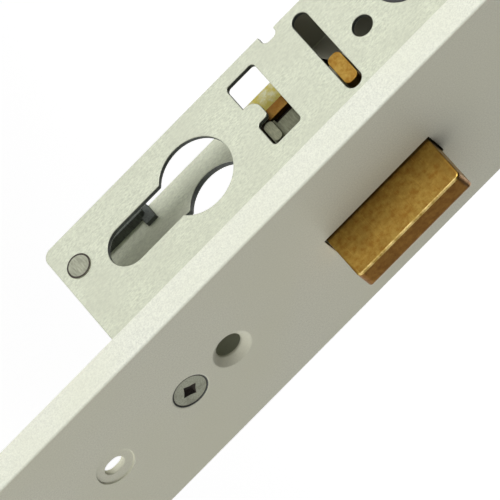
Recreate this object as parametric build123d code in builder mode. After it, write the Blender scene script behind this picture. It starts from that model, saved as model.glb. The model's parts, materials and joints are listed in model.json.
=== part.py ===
"""Euro-profile mortice lock: a flat sash lock case behind a wide channel forend.

Frame, in millimetres: the origin is the centre of the forend's front face at the height of
the cylinder axis. +X points out of the face, the way the bolts are thrown, +Z is up, and the
cover plate is on the -Y side.
"""

import math
import os

from build123d import *

# Forend: a channel with its open side towards the case
forend_width = 43.0
forend_depth = 7.0
forend_wall = 2.0
forend_below_case = 48.9
forend_above_case = 46.0
forend_edge_radius = 0.5
fixing_slot_inset = 31.6
fixing_slot_width = 3.9
fixing_slot_height = 4.8
fixing_dish_radius = 4.5
fixing_dish_depth = 0.4

# Case: two plates, held apart by rivets
case_thickness = 14.8
cover_wall = 1.25
pan_wall = 1.8
case_below_axis = 35.1
case_above_spindle = 52.0
case_corner_radius = 2.3
rear_wall_above_tail = 3.1
notch_height = 3.7
notch_depth = 2.7
notch_corner_radius = 1.3
cover_step = 0.8
stop_tab_length = 4.1
stop_tab_height = 2.7
stop_tab_depth = 1.2
stop_tab_below_axis = 14.4
rear_flange_height = 2.6

# Euro profile cylinder hole and the height of the handle spindle above it
backset = 32.5
cylinder_radius = 8.75
cylinder_stem_width = 10.0
cylinder_bottom = -24.6
cam_radius = 16.0
cam_clearance = 0.4
cam_engagement = 3.8
spindle_height = 60.0
spindle_square = 8.0
cylinder_screw_height = -18.65
cylinder_screw_radius = 3.0
cylinder_screw_sink_radius = 4.65
cylinder_screw_sink_depth = 1.35

# Screws that hold the forend to the case
forend_screw_inset = 4.4
forend_screw_radius = 2.0
forend_screw_head_radius = 4.05
forend_screw_recess = 0.25
forend_screw_seat = 0.25
forend_screw_play = 0.2
forend_screw_length = 10.0
forend_screw_socket = 2.9
forend_screw_turn = 25.0
fixing_block_height = 8.0
fixing_block_depth = 10.0

# Rivets
rivet_radius = 1.6
rivet_spacer_radius = 2.6
rivet_head_radius = 2.8
rivet_head_height = 0.25
rivet_inset_rear = 8.75
rivet_inset_bottom = 4.7
middle_rivet_lift = 2.0

# Deadbolt
bolt_thickness = 5.8
bolt_bottom = 10.7
bolt_top = 39.8
bolt_throw = 12.2
bolt_retracted_depth = 0.3
bolt_head_rear = 8.2
bolt_tail_behind_axis = 1.2
bolt_tail_height = 12.5
bolt_tail_rear_gap = 0.1
bolt_shoulder_width = 2.7
bolt_wall_gap = 0.5
bolt_cheek_edge = 0.3
bolt_far_edge = 1.3
bolt_clearance = 0.4
cam_notch_width = 10.0
cam_notch_centre = 6.2
cam_tooth_width = 3.4
lug_width = 3.5
lug_length = 8.6
lug_before_axis = 11.4
lug_front_gap = 2.0
lug_corner_radius = 1.4
lug_recess = 0.3
lug_below_bolt_top = 2.7
guide_slot_clearance = 0.3
guide_slot_rear_play = 1.2

# Detent lever with its stud, carried by the deadbolt
lever_thickness = 1.5
lever_gap = 0.2
lever_height = 10.6
lever_foot_height = 2.9
lever_foot_step = 1.1
lever_foot_behind_stud = 0.3
lever_foot_before_stud = 3.0
pivot_inset = 8.2
pivot_above_lever = 3.2
pivot_radius = 1.5
pivot_clearance = 0.06
pivot_eye_radius = 4.0
pivot_head_radius = 2.4
pivot_head_height = 0.6
pivot_head_gap = 0.1
stud_length = 5.4
stud_height = 2.5
stud_corner_radius = 1.1
stud_above_lever = 0.1
stud_clearance = 0.1
gate_pocket_play = 0.8
gate_pocket_below_stud = 0.3
gate_channel_above_stud = 0.4
gate_channel_play = 2.1
gate_before_axis = 5.7
gate_corner_radius = 1.0
gate_post_radius = 2.6
stud_behind_gate_centre = 0.6
detent_spring_radius = 0.3
detent_spring_bend = 0.7
detent_spring_below_bolt_top = 5.8
detent_spring_behind_pivot = 5.0
detent_spring_anchor_depth = 2.0
detent_spring_reach = 5.0
detent_spring_gap = 0.05

# Handle follower
follower_journal_wall = 0.95
follower_bush_wall = 1.4
follower_bush_flange = 1.0
follower_bush_flange_reach = 1.4
follower_body_wall = 3.0
follower_running_gap = 0.08
follower_side_gap = 0.15
follower_arm_tip = 2.0
follower_arm_root = 2.6
follower_arm_width = 5.0
follower_swing = 35.0
stop_pin_radius = 2.0
stop_pin_beyond_body = 0.4
stop_gap = 0.3
follower_spring_beyond_body = 0.35
follower_spring_radius = 2.2
follower_spring_wire = 0.35
follower_spring_turns = 6
follower_spring_arm_gap = 0.9

# Latch bolt
latch_height = 18.0
latch_side_gap = 0.9
latch_throw = 10.0
latch_retracted_depth = 0.2
latch_bevel_flat = 1.6
latch_clearance = 0.4
latch_tail_width = 3.0
latch_tail_height = 8.0
latch_tail_above_arm = 2.825
latch_hook_length = 3.0
latch_hook_reach = 0.5
latch_slot_depth = 7.0
latch_pin_inset = 3.5
latch_pin_radius = 1.2
latch_guide_depth = 3.0
latch_guide_below = 5.5
latch_guide_above = 8.5
latch_guide_gap = 0.3
latch_guide_before_hook = 1.1
latch_spring_solid = 3.4
latch_spring_radius = 5.0
latch_spring_wire = 0.35
latch_spring_turns = 5

# Bolt-through fixings of a handle plate
through_hole_radius = 2.45
through_hole_forward = 3.35
lower_through_drop = 14.15
upper_through_rise = 43.0

# Places worked out from the values above: the plates and the forend
axis_x = -backset
bolt_travel = bolt_throw + bolt_retracted_depth
bolt_rear = axis_x - bolt_tail_behind_axis
case_rear = bolt_rear - bolt_travel - bolt_tail_rear_gap
case_bottom = -case_below_axis
case_top = spindle_height + case_above_spindle
forend_bottom = case_bottom - forend_below_case
forend_top = case_top + forend_above_case
half_width = forend_width / 2
face_inner = -forend_wall
cover_y = -case_thickness / 2
cover_inner = cover_y + cover_wall
pan_y = case_thickness / 2
pan_inner = pan_y - pan_wall
through_x = axis_x + through_hole_forward
lower_through_height = spindle_height - lower_through_drop
upper_through_height = spindle_height + upper_through_rise
lower_screw_height = case_bottom + forend_screw_inset
upper_screw_height = case_top - forend_screw_inset
lower_slot_height = forend_bottom + fixing_slot_inset
upper_slot_height = forend_top - fixing_slot_inset
screw_head_front = -forend_screw_recess
screw_head_rear = face_inner + forend_screw_seat
screw_head_slope = (forend_screw_head_radius - forend_screw_radius) / (screw_head_front - screw_head_rear)
screw_sink_radius = forend_screw_head_radius + forend_screw_recess * screw_head_slope

# The deadbolt, its detent lever and the gate window that the lever's stud works in
bolt_middle = (bolt_bottom + bolt_top) / 2
bolt_near = -bolt_thickness / 2
bolt_tail_bottom = cam_radius + cam_clearance
bolt_tail_top = bolt_tail_bottom + bolt_tail_height
bolt_upper_rear = case_rear + pan_wall + bolt_travel + bolt_wall_gap
wall_bottom = bolt_tail_top + rear_wall_above_tail
notch_front = case_rear + notch_depth
cam_tooth_bottom = cam_radius - cam_engagement
tooth_front = axis_x + cam_notch_centre + cam_notch_width / 2
lug_height = bolt_top - lug_below_bolt_top
lug_front = axis_x + lug_before_axis
slot_front = lug_front + lug_front_gap
slot_rear = lug_front - lug_length - bolt_travel - guide_slot_rear_play
lever_far = bolt_near - lever_gap
lever_near = lever_far - lever_thickness
lever_bottom = bolt_tail_bottom
lever_top = lever_bottom + lever_height
pivot_x = -pivot_inset
pivot_height = lever_bottom + pivot_above_lever
stud_bottom = lever_bottom + stud_above_lever
gate_front_centre = axis_x + gate_before_axis
gate_rear_centre = gate_front_centre - bolt_travel
gate_pocket_width = stud_length + 2 * gate_pocket_play
gate_pocket_bottom = stud_bottom - gate_pocket_below_stud
gate_channel_bottom = stud_bottom + stud_height + gate_channel_above_stud
gate_channel_top = gate_channel_bottom + stud_height + gate_channel_play
gate_front = gate_front_centre + gate_pocket_width / 2
gate_rear = gate_rear_centre - gate_pocket_width / 2
gate_post_rear = gate_rear_centre + gate_pocket_width / 2
stud_middle = gate_front_centre - stud_behind_gate_centre
anchor_x = pivot_x - detent_spring_behind_pivot
anchor_height = bolt_top - detent_spring_below_bolt_top

# The follower, whose arm swings evenly to both sides of upright and draws the latch back
latch_travel = latch_throw + latch_retracted_depth
swing_sine = math.sin(math.radians(follower_swing / 2))
swing_cosine = math.cos(math.radians(follower_swing / 2))
follower_arm_radius = latch_travel / 2 / swing_sine
follower_journal_radius = spindle_square / math.sqrt(2) + follower_journal_wall
follower_bush_radius = follower_journal_radius + follower_bush_wall
follower_body_radius = follower_journal_radius + follower_body_wall
arm_tip_x = axis_x + follower_arm_radius * swing_sine
arm_tip_z = spindle_height + follower_arm_radius * swing_cosine
follower_spring_rise = (follower_body_radius + follower_spring_beyond_body + follower_spring_wire
                        + follower_spring_radius)
follower_spring_height = spindle_height + follower_spring_rise

# The latch: from the hook behind the arm forward to the guide, the spring and the head
hook_front = arm_tip_x - follower_arm_tip - stop_gap
hook_rear = hook_front - latch_hook_length
guide_rear = hook_front + latch_guide_before_hook
guide_front = guide_rear + latch_guide_depth
latch_head_rear = guide_front + latch_spring_solid + latch_travel
latch_thickness = 2 * (pan_inner - latch_side_gap)
tail_low = arm_tip_z + follower_arm_tip + latch_tail_above_arm
tail_high = tail_low + latch_tail_height
latch_centre = (tail_low + tail_high) / 2
latch_bottom = latch_centre - latch_height / 2


def side_plane(y):
    """Drawing plane at a given Y, with X to the right and Z up; it extrudes towards -Y."""
    return Plane.XZ.offset(-y)


def face_plane(x):
    """Drawing plane at a given X, with Y to the right and Z up; it extrudes towards +X."""
    return Plane.YZ.offset(x)


def add_box(x_range, y_range, z_range, mode=Mode.ADD):
    """Add or cut a box given by its limits inside the current part."""
    middle = tuple((low + high) / 2 for low, high in (x_range, y_range, z_range))
    sizes = [high - low for low, high in (x_range, y_range, z_range)]
    with Locations(middle):
        Box(*sizes, mode=mode)


def add_side_cylinder(x, z, y_range, radius, mode=Mode.ADD):
    """Add or cut a cylinder that runs across the case, along Y."""
    near, far = y_range
    with Locations((x, (near + far) / 2, z)):
        Cylinder(radius, far - near, rotation=(90, 0, 0), mode=mode)


def add_front_cylinder(y, z, x_range, radius, mode=Mode.ADD):
    """Add or cut a cylinder that runs in and out of the face, along X."""
    rear, front = x_range
    with Locations(((rear + front) / 2, y, z)):
        Cylinder(radius, front - rear, rotation=(0, 90, 0), mode=mode)


def add_front_cone(z, x_range, rear_radius, front_radius, mode=Mode.ADD):
    """Add or cut a cone on the forend's centre line, along X."""
    rear, front = x_range
    with Locations(((rear + front) / 2, 0, z)):
        Cone(rear_radius, front_radius, front - rear, rotation=(0, 90, 0), mode=mode)


def save(piece, name):
    """Label one finished piece and write it as its own STEP file."""
    piece.part.label = name
    export_step(piece.part, f"parts/{name}.step")


def euro_profile():
    """Draw the euro profile hole: a round bore with a round-ended stem below it."""
    stem_radius = cylinder_stem_width / 2
    stem_end = cylinder_bottom + stem_radius
    with Locations((axis_x, 0)):
        Circle(cylinder_radius)
    with Locations((axis_x, stem_end / 2)):
        Rectangle(cylinder_stem_width, -stem_end)
    with Locations((axis_x, stem_end)):
        Circle(stem_radius)


def shared_plate_holes():
    """Draw the holes that both case plates have."""
    euro_profile()
    with Locations((axis_x, spindle_height)):
        Circle(follower_bush_radius)
    with Locations((through_x, lower_through_height), (through_x, upper_through_height)):
        Circle(through_hole_radius)
    with Locations(*rivet_places):
        Circle(rivet_radius)


rivet_places = [
    (case_rear + rivet_inset_rear, case_bottom + rivet_inset_bottom),
    (case_rear + rivet_inset_rear, case_top - rivet_inset_bottom - pan_wall),
    (face_inner - rivet_inset_bottom, (bolt_top + spindle_height) / 2 + middle_rivet_lift),
]

os.makedirs("parts", exist_ok=True)

# Forend: a channel with sharp front edges, cut for the bolts and the screws
with BuildPart() as forend:
    add_box((-forend_depth, 0), (-half_width, half_width), (forend_bottom, forend_top))
    front_edges = forend.edges().filter_by(Axis.Z).group_by(Axis.X)[-1]
    fillet(front_edges, forend_edge_radius)
    hollow = half_width - forend_wall
    add_box((-forend_depth, face_inner), (-hollow, hollow), (forend_bottom, forend_top), Mode.SUBTRACT)
    with BuildSketch(Plane.YZ):
        with Locations((0, bolt_middle)):
            Rectangle(bolt_thickness + 2 * bolt_clearance, bolt_top - bolt_bottom + 2 * bolt_clearance)
        with Locations((0, latch_centre)):
            Rectangle(latch_thickness + 2 * latch_clearance, latch_height + 2 * latch_clearance)
        with Locations((0, cylinder_screw_height)):
            Circle(cylinder_screw_radius)
        with Locations((0, lower_screw_height), (0, upper_screw_height)):
            Circle(forend_screw_radius + forend_screw_play)
        with Locations((0, lower_slot_height), (0, upper_slot_height)):
            SlotOverall(fixing_slot_height, fixing_slot_width, rotation=90)
    extrude(amount=-forend_wall, mode=Mode.SUBTRACT)
    add_front_cone(cylinder_screw_height, (-cylinder_screw_sink_depth, 0), cylinder_screw_radius,
                   cylinder_screw_sink_radius, Mode.SUBTRACT)
    for screw_height in (lower_screw_height, upper_screw_height):
        add_front_cone(screw_height, (screw_head_rear, 0), forend_screw_radius, screw_sink_radius,
                       Mode.SUBTRACT)
    for slot_height in (lower_slot_height, upper_slot_height):
        add_front_cylinder(0, slot_height, (-fixing_dish_depth, 0), fixing_dish_radius, Mode.SUBTRACT)
save(forend, "forend")


def plate_outline(rear_above_notch):
    """Draw a case plate's outline, with the notch in its rear edge."""
    Polygon(
        (face_inner, case_bottom),
        (case_rear, case_bottom),
        (case_rear, wall_bottom - notch_height),
        (notch_front, wall_bottom - notch_height),
        (notch_front, wall_bottom),
        (rear_above_notch, wall_bottom),
        (rear_above_notch, case_top),
        (face_inner, case_top),
        align=None,
    )
    fillet(vertices().filter_by_position(Axis.X, notch_front, notch_front), notch_corner_radius)


# Cover plate: the near plate, with the gate window and the guide slot
with BuildPart() as cover_plate:
    with BuildSketch(side_plane(cover_inner)):
        plate_outline(case_rear + cover_step)
    extrude(amount=cover_wall)
    bottom_corner = cover_plate.edges().filter_by(Axis.Y).group_by(Axis.Z)[0].sort_by(Axis.X)[0]
    fillet(bottom_corner, case_corner_radius)
    with BuildSketch(side_plane(cover_inner)):
        shared_plate_holes()
        with Locations(((slot_front + slot_rear) / 2, lug_height)):
            SlotOverall(slot_front - slot_rear, lug_width + 2 * guide_slot_clearance)
    extrude(amount=cover_wall, mode=Mode.SUBTRACT)
    with BuildSketch(side_plane(cover_inner)):
        with Locations(((gate_front + gate_rear) / 2, (gate_channel_bottom + gate_channel_top) / 2)):
            Rectangle(gate_front - gate_rear, gate_channel_top - gate_channel_bottom)
        pocket_middle = (gate_pocket_bottom + gate_channel_top) / 2
        with Locations((gate_front_centre, pocket_middle), (gate_rear_centre, pocket_middle)):
            Rectangle(gate_pocket_width, gate_channel_top - gate_pocket_bottom)
        post_corners = vertices().filter_by_position(Axis.X, gate_post_rear, gate_post_rear)
        fillet(vertices() - post_corners, gate_corner_radius)
    extrude(amount=cover_wall, mode=Mode.SUBTRACT)
    post_top = (gate_post_rear, cover_inner, gate_channel_bottom)
    post_edge = cover_plate.edges().filter_by(Axis.Y).sort_by_distance(post_top)[0]
    fillet(post_edge, gate_post_radius)
save(cover_plate, "cover_plate")

# Case plate: the far plate, folded to a rear wall and a top wall, with a low rear flange and a stop tab
with BuildPart() as case_plate:
    with BuildSketch(side_plane(pan_y)):
        plate_outline(case_rear)
    extrude(amount=pan_wall)
    bottom_corner = case_plate.edges().filter_by(Axis.Y).group_by(Axis.Z)[0].sort_by(Axis.X)[0]
    fillet(bottom_corner, case_corner_radius)
    with BuildSketch(side_plane(pan_y)):
        shared_plate_holes()
    extrude(amount=pan_wall, mode=Mode.SUBTRACT)
    add_box((case_rear, case_rear + pan_wall), (cover_inner, pan_inner), (wall_bottom, case_top))
    add_box((case_rear, face_inner), (cover_inner, pan_inner), (case_top - pan_wall, case_top))
    stop_tab_middle = -stop_tab_below_axis
    add_box((case_rear, case_rear + pan_wall), (pan_inner - rear_flange_height, pan_inner),
            (case_bottom + case_corner_radius, stop_tab_middle))
    add_box((case_rear, case_rear + stop_tab_length), (pan_inner - stop_tab_depth, pan_inner),
            (stop_tab_middle - stop_tab_height / 2, stop_tab_middle + stop_tab_height / 2))
save(case_plate, "case_plate")


def fixing_block(screw_height):
    """Block between the plates behind the forend, tapped for one forend screw."""
    with BuildPart() as block:
        low = max(screw_height - fixing_block_height / 2, case_bottom)
        high = min(screw_height + fixing_block_height / 2, case_top - pan_wall)
        depth_range = (face_inner - fixing_block_depth, face_inner)
        add_box(depth_range, (cover_inner, pan_inner), (low, high))
        add_front_cylinder(0, screw_height, depth_range, forend_screw_radius, Mode.SUBTRACT)
    return block


lower_fixing_block = fixing_block(lower_screw_height)
save(lower_fixing_block, "lower_fixing_block")
upper_fixing_block = fixing_block(upper_screw_height)
save(upper_fixing_block, "upper_fixing_block")

# Forend screws: countersunk, with a square socket in the head
with BuildPart() as forend_screws:
    for screw_height in (lower_screw_height, upper_screw_height):
        add_front_cone(screw_height, (screw_head_rear, screw_head_front), forend_screw_radius,
                       forend_screw_head_radius)
        add_front_cylinder(0, screw_height, (-forend_screw_length, screw_head_rear), forend_screw_radius)
        with BuildSketch(face_plane(screw_head_front)):
            with Locations((0, screw_height)):
                Rectangle(forend_screw_socket, forend_screw_socket, rotation=forend_screw_turn)
        extrude(amount=screw_head_rear - screw_head_front, mode=Mode.SUBTRACT)
save(forend_screws, "forend_screws")

# Spacer rivets: a shouldered post between the plates, riveted over on the outside of each
with BuildPart() as spacer_rivets:
    for x, z in rivet_places:
        add_side_cylinder(x, z, (cover_inner, pan_inner), rivet_spacer_radius)
        add_side_cylinder(x, z, (cover_y - rivet_head_height, pan_y + rivet_head_height), rivet_radius)
        add_side_cylinder(x, z, (cover_y - rivet_head_height, cover_y), rivet_head_radius)
        add_side_cylinder(x, z, (pan_y, pan_y + rivet_head_height), rivet_head_radius)
save(spacer_rivets, "spacer_rivets")

# Deadbolt: a cast head, and a tail with the cam notch below and the guide lug at its side
with BuildPart() as deadbolt:
    add_box((-bolt_head_rear, bolt_throw), (bolt_near, -bolt_near), (bolt_bottom, bolt_top))
    nose = deadbolt.faces().sort_by(Axis.X)[-1]
    far_edges = nose.edges().filter_by(Axis.Z).sort_by(Axis.Y)[-1:] + nose.edges().filter_by(Axis.Y)
    fillet(far_edges, bolt_far_edge)
    near_edge = deadbolt.faces().sort_by(Axis.X)[-1].edges().sort_by(Axis.Y)[0]
    chamfer(near_edge, bolt_cheek_edge)
    add_box((bolt_rear, -bolt_head_rear), (bolt_near, -bolt_near), (bolt_tail_bottom, bolt_tail_top))
    add_box((bolt_upper_rear, -bolt_head_rear), (bolt_near, -bolt_near), (bolt_tail_top, bolt_top))
    add_box((bolt_rear, bolt_rear + bolt_shoulder_width), (lever_near, bolt_near),
            (bolt_tail_bottom, bolt_tail_top))
    add_box((tooth_front, tooth_front + cam_tooth_width), (bolt_near, -bolt_near),
            (cam_tooth_bottom, bolt_tail_bottom))
    add_box((bolt_rear, tooth_front - cam_notch_width), (bolt_near, -bolt_near),
            (cam_tooth_bottom, bolt_tail_bottom))
    with BuildSketch(side_plane(bolt_near)):
        with Locations((lug_front - lug_length / 2, lug_height)):
            RectangleRounded(lug_length, lug_width, lug_corner_radius)
    extrude(amount=bolt_near - cover_y - lug_recess)
    add_side_cylinder(pivot_x, pivot_height, (bolt_near, -bolt_near), pivot_radius, Mode.SUBTRACT)
    add_side_cylinder(anchor_x, anchor_height, (bolt_near, bolt_near + detent_spring_anchor_depth),
                      detent_spring_radius, Mode.SUBTRACT)
save(deadbolt, "deadbolt")

# Pivot pin of the detent lever: pressed in the deadbolt, with a head over the lever
with BuildPart() as detent_pivot_pin:
    pin_head_far = lever_near - pivot_head_gap
    add_side_cylinder(pivot_x, pivot_height, (pin_head_far, -bolt_near), pivot_radius)
    add_side_cylinder(pivot_x, pivot_height, (pin_head_far - pivot_head_height, pin_head_far),
                      pivot_head_radius)
save(detent_pivot_pin, "detent_pivot_pin")

# Detent lever: a flat lever from the pivot back to the gate, with a foot under the stud
foot_rear = stud_middle - stud_length / 2 - lever_foot_behind_stud
foot_front = stud_middle + stud_length / 2 + lever_foot_before_stud
foot_top = lever_bottom + lever_foot_height
waist_rear = foot_rear + lever_foot_step
with BuildPart() as detent_lever:
    with BuildSketch(side_plane(lever_far)):
        with BuildLine():
            Polyline(
                (foot_rear, lever_bottom),
                (foot_front, lever_bottom),
                (pivot_x, pivot_height - pivot_eye_radius),
                (pivot_x, pivot_height + pivot_eye_radius),
                (waist_rear, lever_top),
                (waist_rear, foot_top),
                (foot_rear, foot_top),
                close=True,
            )
        make_face()
        with Locations((pivot_x, pivot_height)):
            Circle(pivot_eye_radius)
            Circle(pivot_radius + pivot_clearance, mode=Mode.SUBTRACT)
    extrude(amount=lever_thickness)
save(detent_lever, "detent_lever")

# Detent stud: riveted to the lever's foot, standing towards the gate window
with BuildPart() as detent_stud:
    with BuildSketch(side_plane(lever_near)):
        with Locations((stud_middle, stud_bottom + stud_height / 2)):
            RectangleRounded(stud_length, stud_height, stud_corner_radius)
    extrude(amount=lever_near - cover_inner - stud_clearance)
save(detent_stud, "detent_stud")

# Follower: a hub with a square hole for the handle spindle, and an arm that draws the latch
hub_sides = (cover_inner + follower_side_gap + follower_bush_flange,
             pan_inner - follower_side_gap - follower_bush_flange)
arm_plane = Plane(origin=(axis_x, follower_arm_width / 2, spindle_height), z_dir=(0, -1, 0),
                  x_dir=(swing_cosine, 0, -swing_sine))
with BuildPart() as follower:
    add_side_cylinder(axis_x, spindle_height, hub_sides, follower_body_radius)
    add_side_cylinder(axis_x, spindle_height, (cover_y, pan_y), follower_journal_radius)
    with BuildSketch(arm_plane):
        Polygon(
            (-follower_arm_root, 0),
            (follower_arm_root, 0),
            (follower_arm_tip, follower_arm_radius),
            (-follower_arm_tip, follower_arm_radius),
            align=None,
        )
        with Locations((0, follower_arm_radius)):
            Circle(follower_arm_tip)
    extrude(amount=follower_arm_width)
    with BuildSketch(side_plane(pan_y)):
        with Locations((axis_x, spindle_height)):
            Rectangle(spindle_square, spindle_square)
    extrude(amount=case_thickness, mode=Mode.SUBTRACT)
save(follower, "follower")


def follower_bush(outer_y, inner_y):
    """Flanged bush in one case plate, from the plate's outer face to the flange's inner face."""
    flange_face = inner_y + math.copysign(follower_bush_flange, -inner_y)
    bore = follower_journal_radius + follower_running_gap
    with BuildPart() as bush:
        add_side_cylinder(axis_x, spindle_height, sorted((outer_y, inner_y)), follower_bush_radius)
        add_side_cylinder(axis_x, spindle_height, sorted((inner_y, flange_face)),
                          follower_bush_radius + follower_bush_flange_reach)
        add_side_cylinder(axis_x, spindle_height, sorted((outer_y, flange_face)), bore, Mode.SUBTRACT)
    return bush


follower_bush_near = follower_bush(cover_y, cover_inner)
save(follower_bush_near, "follower_bush_near")
follower_bush_far = follower_bush(pan_y, pan_inner)
save(follower_bush_far, "follower_bush_far")

# Latch bolt: a bevelled head, slotted at the rear for its tail
latch_sides = (-latch_thickness / 2, latch_thickness / 2)
tail_sides = (-latch_tail_width / 2, latch_tail_width / 2)
tail_slot_front = latch_head_rear + latch_slot_depth
pin_x = latch_head_rear + latch_pin_inset
with BuildPart() as latch_bolt:
    with BuildSketch(Plane.XY.offset(latch_bottom)):
        Polygon(
            (latch_head_rear, latch_sides[0]),
            (face_inner, latch_sides[0]),
            (latch_throw - latch_bevel_flat, latch_sides[1] - latch_bevel_flat),
            (latch_throw, latch_sides[1]),
            (latch_head_rear, latch_sides[1]),
            align=None,
        )
    extrude(amount=latch_height)
    add_box((latch_head_rear, tail_slot_front), tail_sides, (tail_low, tail_high), Mode.SUBTRACT)
    add_side_cylinder(pin_x, latch_centre, latch_sides, latch_pin_radius, Mode.SUBTRACT)
save(latch_bolt, "latch_bolt")

# Latch tail: a flat plate pinned in the head, with a hook behind the follower's arm
with BuildPart() as latch_tail:
    add_box((hook_rear, tail_slot_front), tail_sides, (tail_low, tail_high))
    add_box((hook_rear, hook_front), tail_sides, (arm_tip_z - latch_hook_reach, tail_low))
    add_side_cylinder(pin_x, latch_centre, tail_sides, latch_pin_radius, Mode.SUBTRACT)
save(latch_tail, "latch_tail")

# Latch pin: holds the tail in the head
with BuildPart() as latch_pin:
    add_side_cylinder(pin_x, latch_centre, latch_sides, latch_pin_radius)
save(latch_pin, "latch_pin")

# Latch guide: a block across the case that guides the tail and seats the latch spring
with BuildPart() as latch_guide:
    add_box((guide_rear, guide_front), (cover_inner, pan_inner),
            (latch_centre - latch_guide_below, latch_centre + latch_guide_above))
    add_box((guide_rear, guide_front), (tail_sides[0] - latch_guide_gap, tail_sides[1] + latch_guide_gap),
            (tail_low - latch_guide_gap, tail_high + latch_guide_gap), Mode.SUBTRACT)
save(latch_guide, "latch_guide")

# Latch spring: a coil round the tail, between the guide and the head
latch_spring_length = latch_head_rear - guide_front - 2 * latch_spring_wire
with BuildPart() as latch_spring:
    with BuildLine() as coil:
        Helix(latch_spring_length / latch_spring_turns, latch_spring_length, latch_spring_radius,
              center=(guide_front + latch_spring_wire, 0, latch_centre), direction=(1, 0, 0))
    with BuildSketch(coil.line ^ 0):
        Circle(latch_spring_wire)
    sweep()
save(latch_spring, "latch_spring")

# Follower stop pin: stands across the case in front of the arm at rest
stop_side = follower_arm_root + stop_gap + stop_pin_radius
stop_reach = follower_body_radius + stop_pin_beyond_body + stop_pin_radius
stop_x = axis_x + stop_side * swing_cosine + stop_reach * swing_sine
stop_z = spindle_height - stop_side * swing_sine + stop_reach * swing_cosine
with BuildPart() as follower_stop_pin:
    add_side_cylinder(stop_x, stop_z, (cover_inner, pan_inner), stop_pin_radius)
save(follower_stop_pin, "follower_stop_pin")

# Follower spring: a coil between the rear wall and the back of the arm
spring_seat = case_rear + pan_wall
arm_back = axis_x + (follower_spring_rise * swing_sine - follower_arm_root) / swing_cosine
follower_spring_length = (arm_back - follower_spring_arm_gap - spring_seat
                          - 2 * follower_spring_wire)
with BuildPart() as follower_spring:
    with BuildLine() as coil:
        Helix(follower_spring_length / follower_spring_turns, follower_spring_length,
              follower_spring_radius, direction=(1, 0, 0),
              center=(spring_seat + follower_spring_wire, 0, follower_spring_height))
    with BuildSketch(coil.line ^ 0):
        Circle(follower_spring_wire)
    sweep()
save(follower_spring, "follower_spring")

# Detent spring: a wire anchored in the bolt's tail, pressing down on the lever's back
wire_y = lever_near + lever_thickness / 2
wire_end_x = foot_rear + detent_spring_reach
lever_back_slope = (lever_top - pivot_height - pivot_eye_radius) / (pivot_x - waist_rear)
lever_back_height = lever_top - (wire_end_x - waist_rear) * lever_back_slope
wire_rise = detent_spring_radius / math.cos(math.atan(lever_back_slope)) + detent_spring_gap
with BuildPart() as detent_spring:
    with BuildLine() as wire:
        FilletPolyline((anchor_x, bolt_near + detent_spring_anchor_depth, anchor_height),
                       (anchor_x, wire_y, anchor_height),
                       (wire_end_x, wire_y, lever_back_height + wire_rise), radius=detent_spring_bend)
    with BuildSketch(wire.line ^ 0):
        Circle(detent_spring_radius)
    sweep()
save(detent_spring, "detent_spring")
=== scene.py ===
"""Looks of a euro-profile mortice lock, laid out as an add-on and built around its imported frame.

Every length in a property is in metres. +X points out of the forend, +Z is up, and the cover
plate is on the -Y side. Each operator finishes one piece or one group of like pieces.
"""

import json
import math

import bpy
from mathutils import Matrix, Vector

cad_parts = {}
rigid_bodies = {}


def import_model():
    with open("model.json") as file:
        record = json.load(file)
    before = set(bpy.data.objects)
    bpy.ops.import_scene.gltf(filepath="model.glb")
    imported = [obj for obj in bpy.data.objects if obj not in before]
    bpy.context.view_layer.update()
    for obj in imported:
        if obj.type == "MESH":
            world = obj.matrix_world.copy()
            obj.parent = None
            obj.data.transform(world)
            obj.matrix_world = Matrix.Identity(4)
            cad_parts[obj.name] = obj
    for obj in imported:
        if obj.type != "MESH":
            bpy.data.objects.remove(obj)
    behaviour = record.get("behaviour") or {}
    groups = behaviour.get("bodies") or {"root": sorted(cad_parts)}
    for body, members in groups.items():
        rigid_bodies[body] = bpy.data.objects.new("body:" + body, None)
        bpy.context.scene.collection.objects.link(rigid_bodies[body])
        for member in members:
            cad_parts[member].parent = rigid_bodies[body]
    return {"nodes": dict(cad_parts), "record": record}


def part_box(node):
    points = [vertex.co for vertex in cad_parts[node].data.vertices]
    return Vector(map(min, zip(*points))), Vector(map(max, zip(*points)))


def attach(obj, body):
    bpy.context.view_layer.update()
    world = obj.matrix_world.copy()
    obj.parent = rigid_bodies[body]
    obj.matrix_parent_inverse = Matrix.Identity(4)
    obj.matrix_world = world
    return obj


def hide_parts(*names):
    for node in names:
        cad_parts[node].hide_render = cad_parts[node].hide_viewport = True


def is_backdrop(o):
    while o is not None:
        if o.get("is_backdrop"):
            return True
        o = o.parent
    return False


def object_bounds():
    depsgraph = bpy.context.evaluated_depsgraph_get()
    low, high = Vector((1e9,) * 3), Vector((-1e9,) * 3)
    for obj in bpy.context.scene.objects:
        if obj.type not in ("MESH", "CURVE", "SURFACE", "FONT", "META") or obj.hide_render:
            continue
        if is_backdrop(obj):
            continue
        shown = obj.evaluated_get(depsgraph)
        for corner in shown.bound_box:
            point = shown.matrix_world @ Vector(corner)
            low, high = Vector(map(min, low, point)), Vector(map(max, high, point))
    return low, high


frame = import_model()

bl_info = {
    "name": "Euro-profile mortice lock",
    "version": (1, 0, 0),
    "blender": (4, 5, 0),
    "location": "3D View > Sidebar > Lock",
    "description": "Finishes the pieces of a mortice lock case and sets its stage",
    "category": "Object",
}

MM = 0.001
BODY_OF = {
    node: body
    for body, nodes in frame["record"]["behaviour"]["bodies"].items()
    for node in nodes
}
MOUNT = {mount["name"]: Vector(mount["pos_m"]) for mount in frame["record"]["mounts"]}
CYLINDER_AXIS = MOUNT["euro_profile_hole"]
TOUCH = 0.01 * MM  # two faces nearer than this lie in one plane


# Properties

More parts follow.
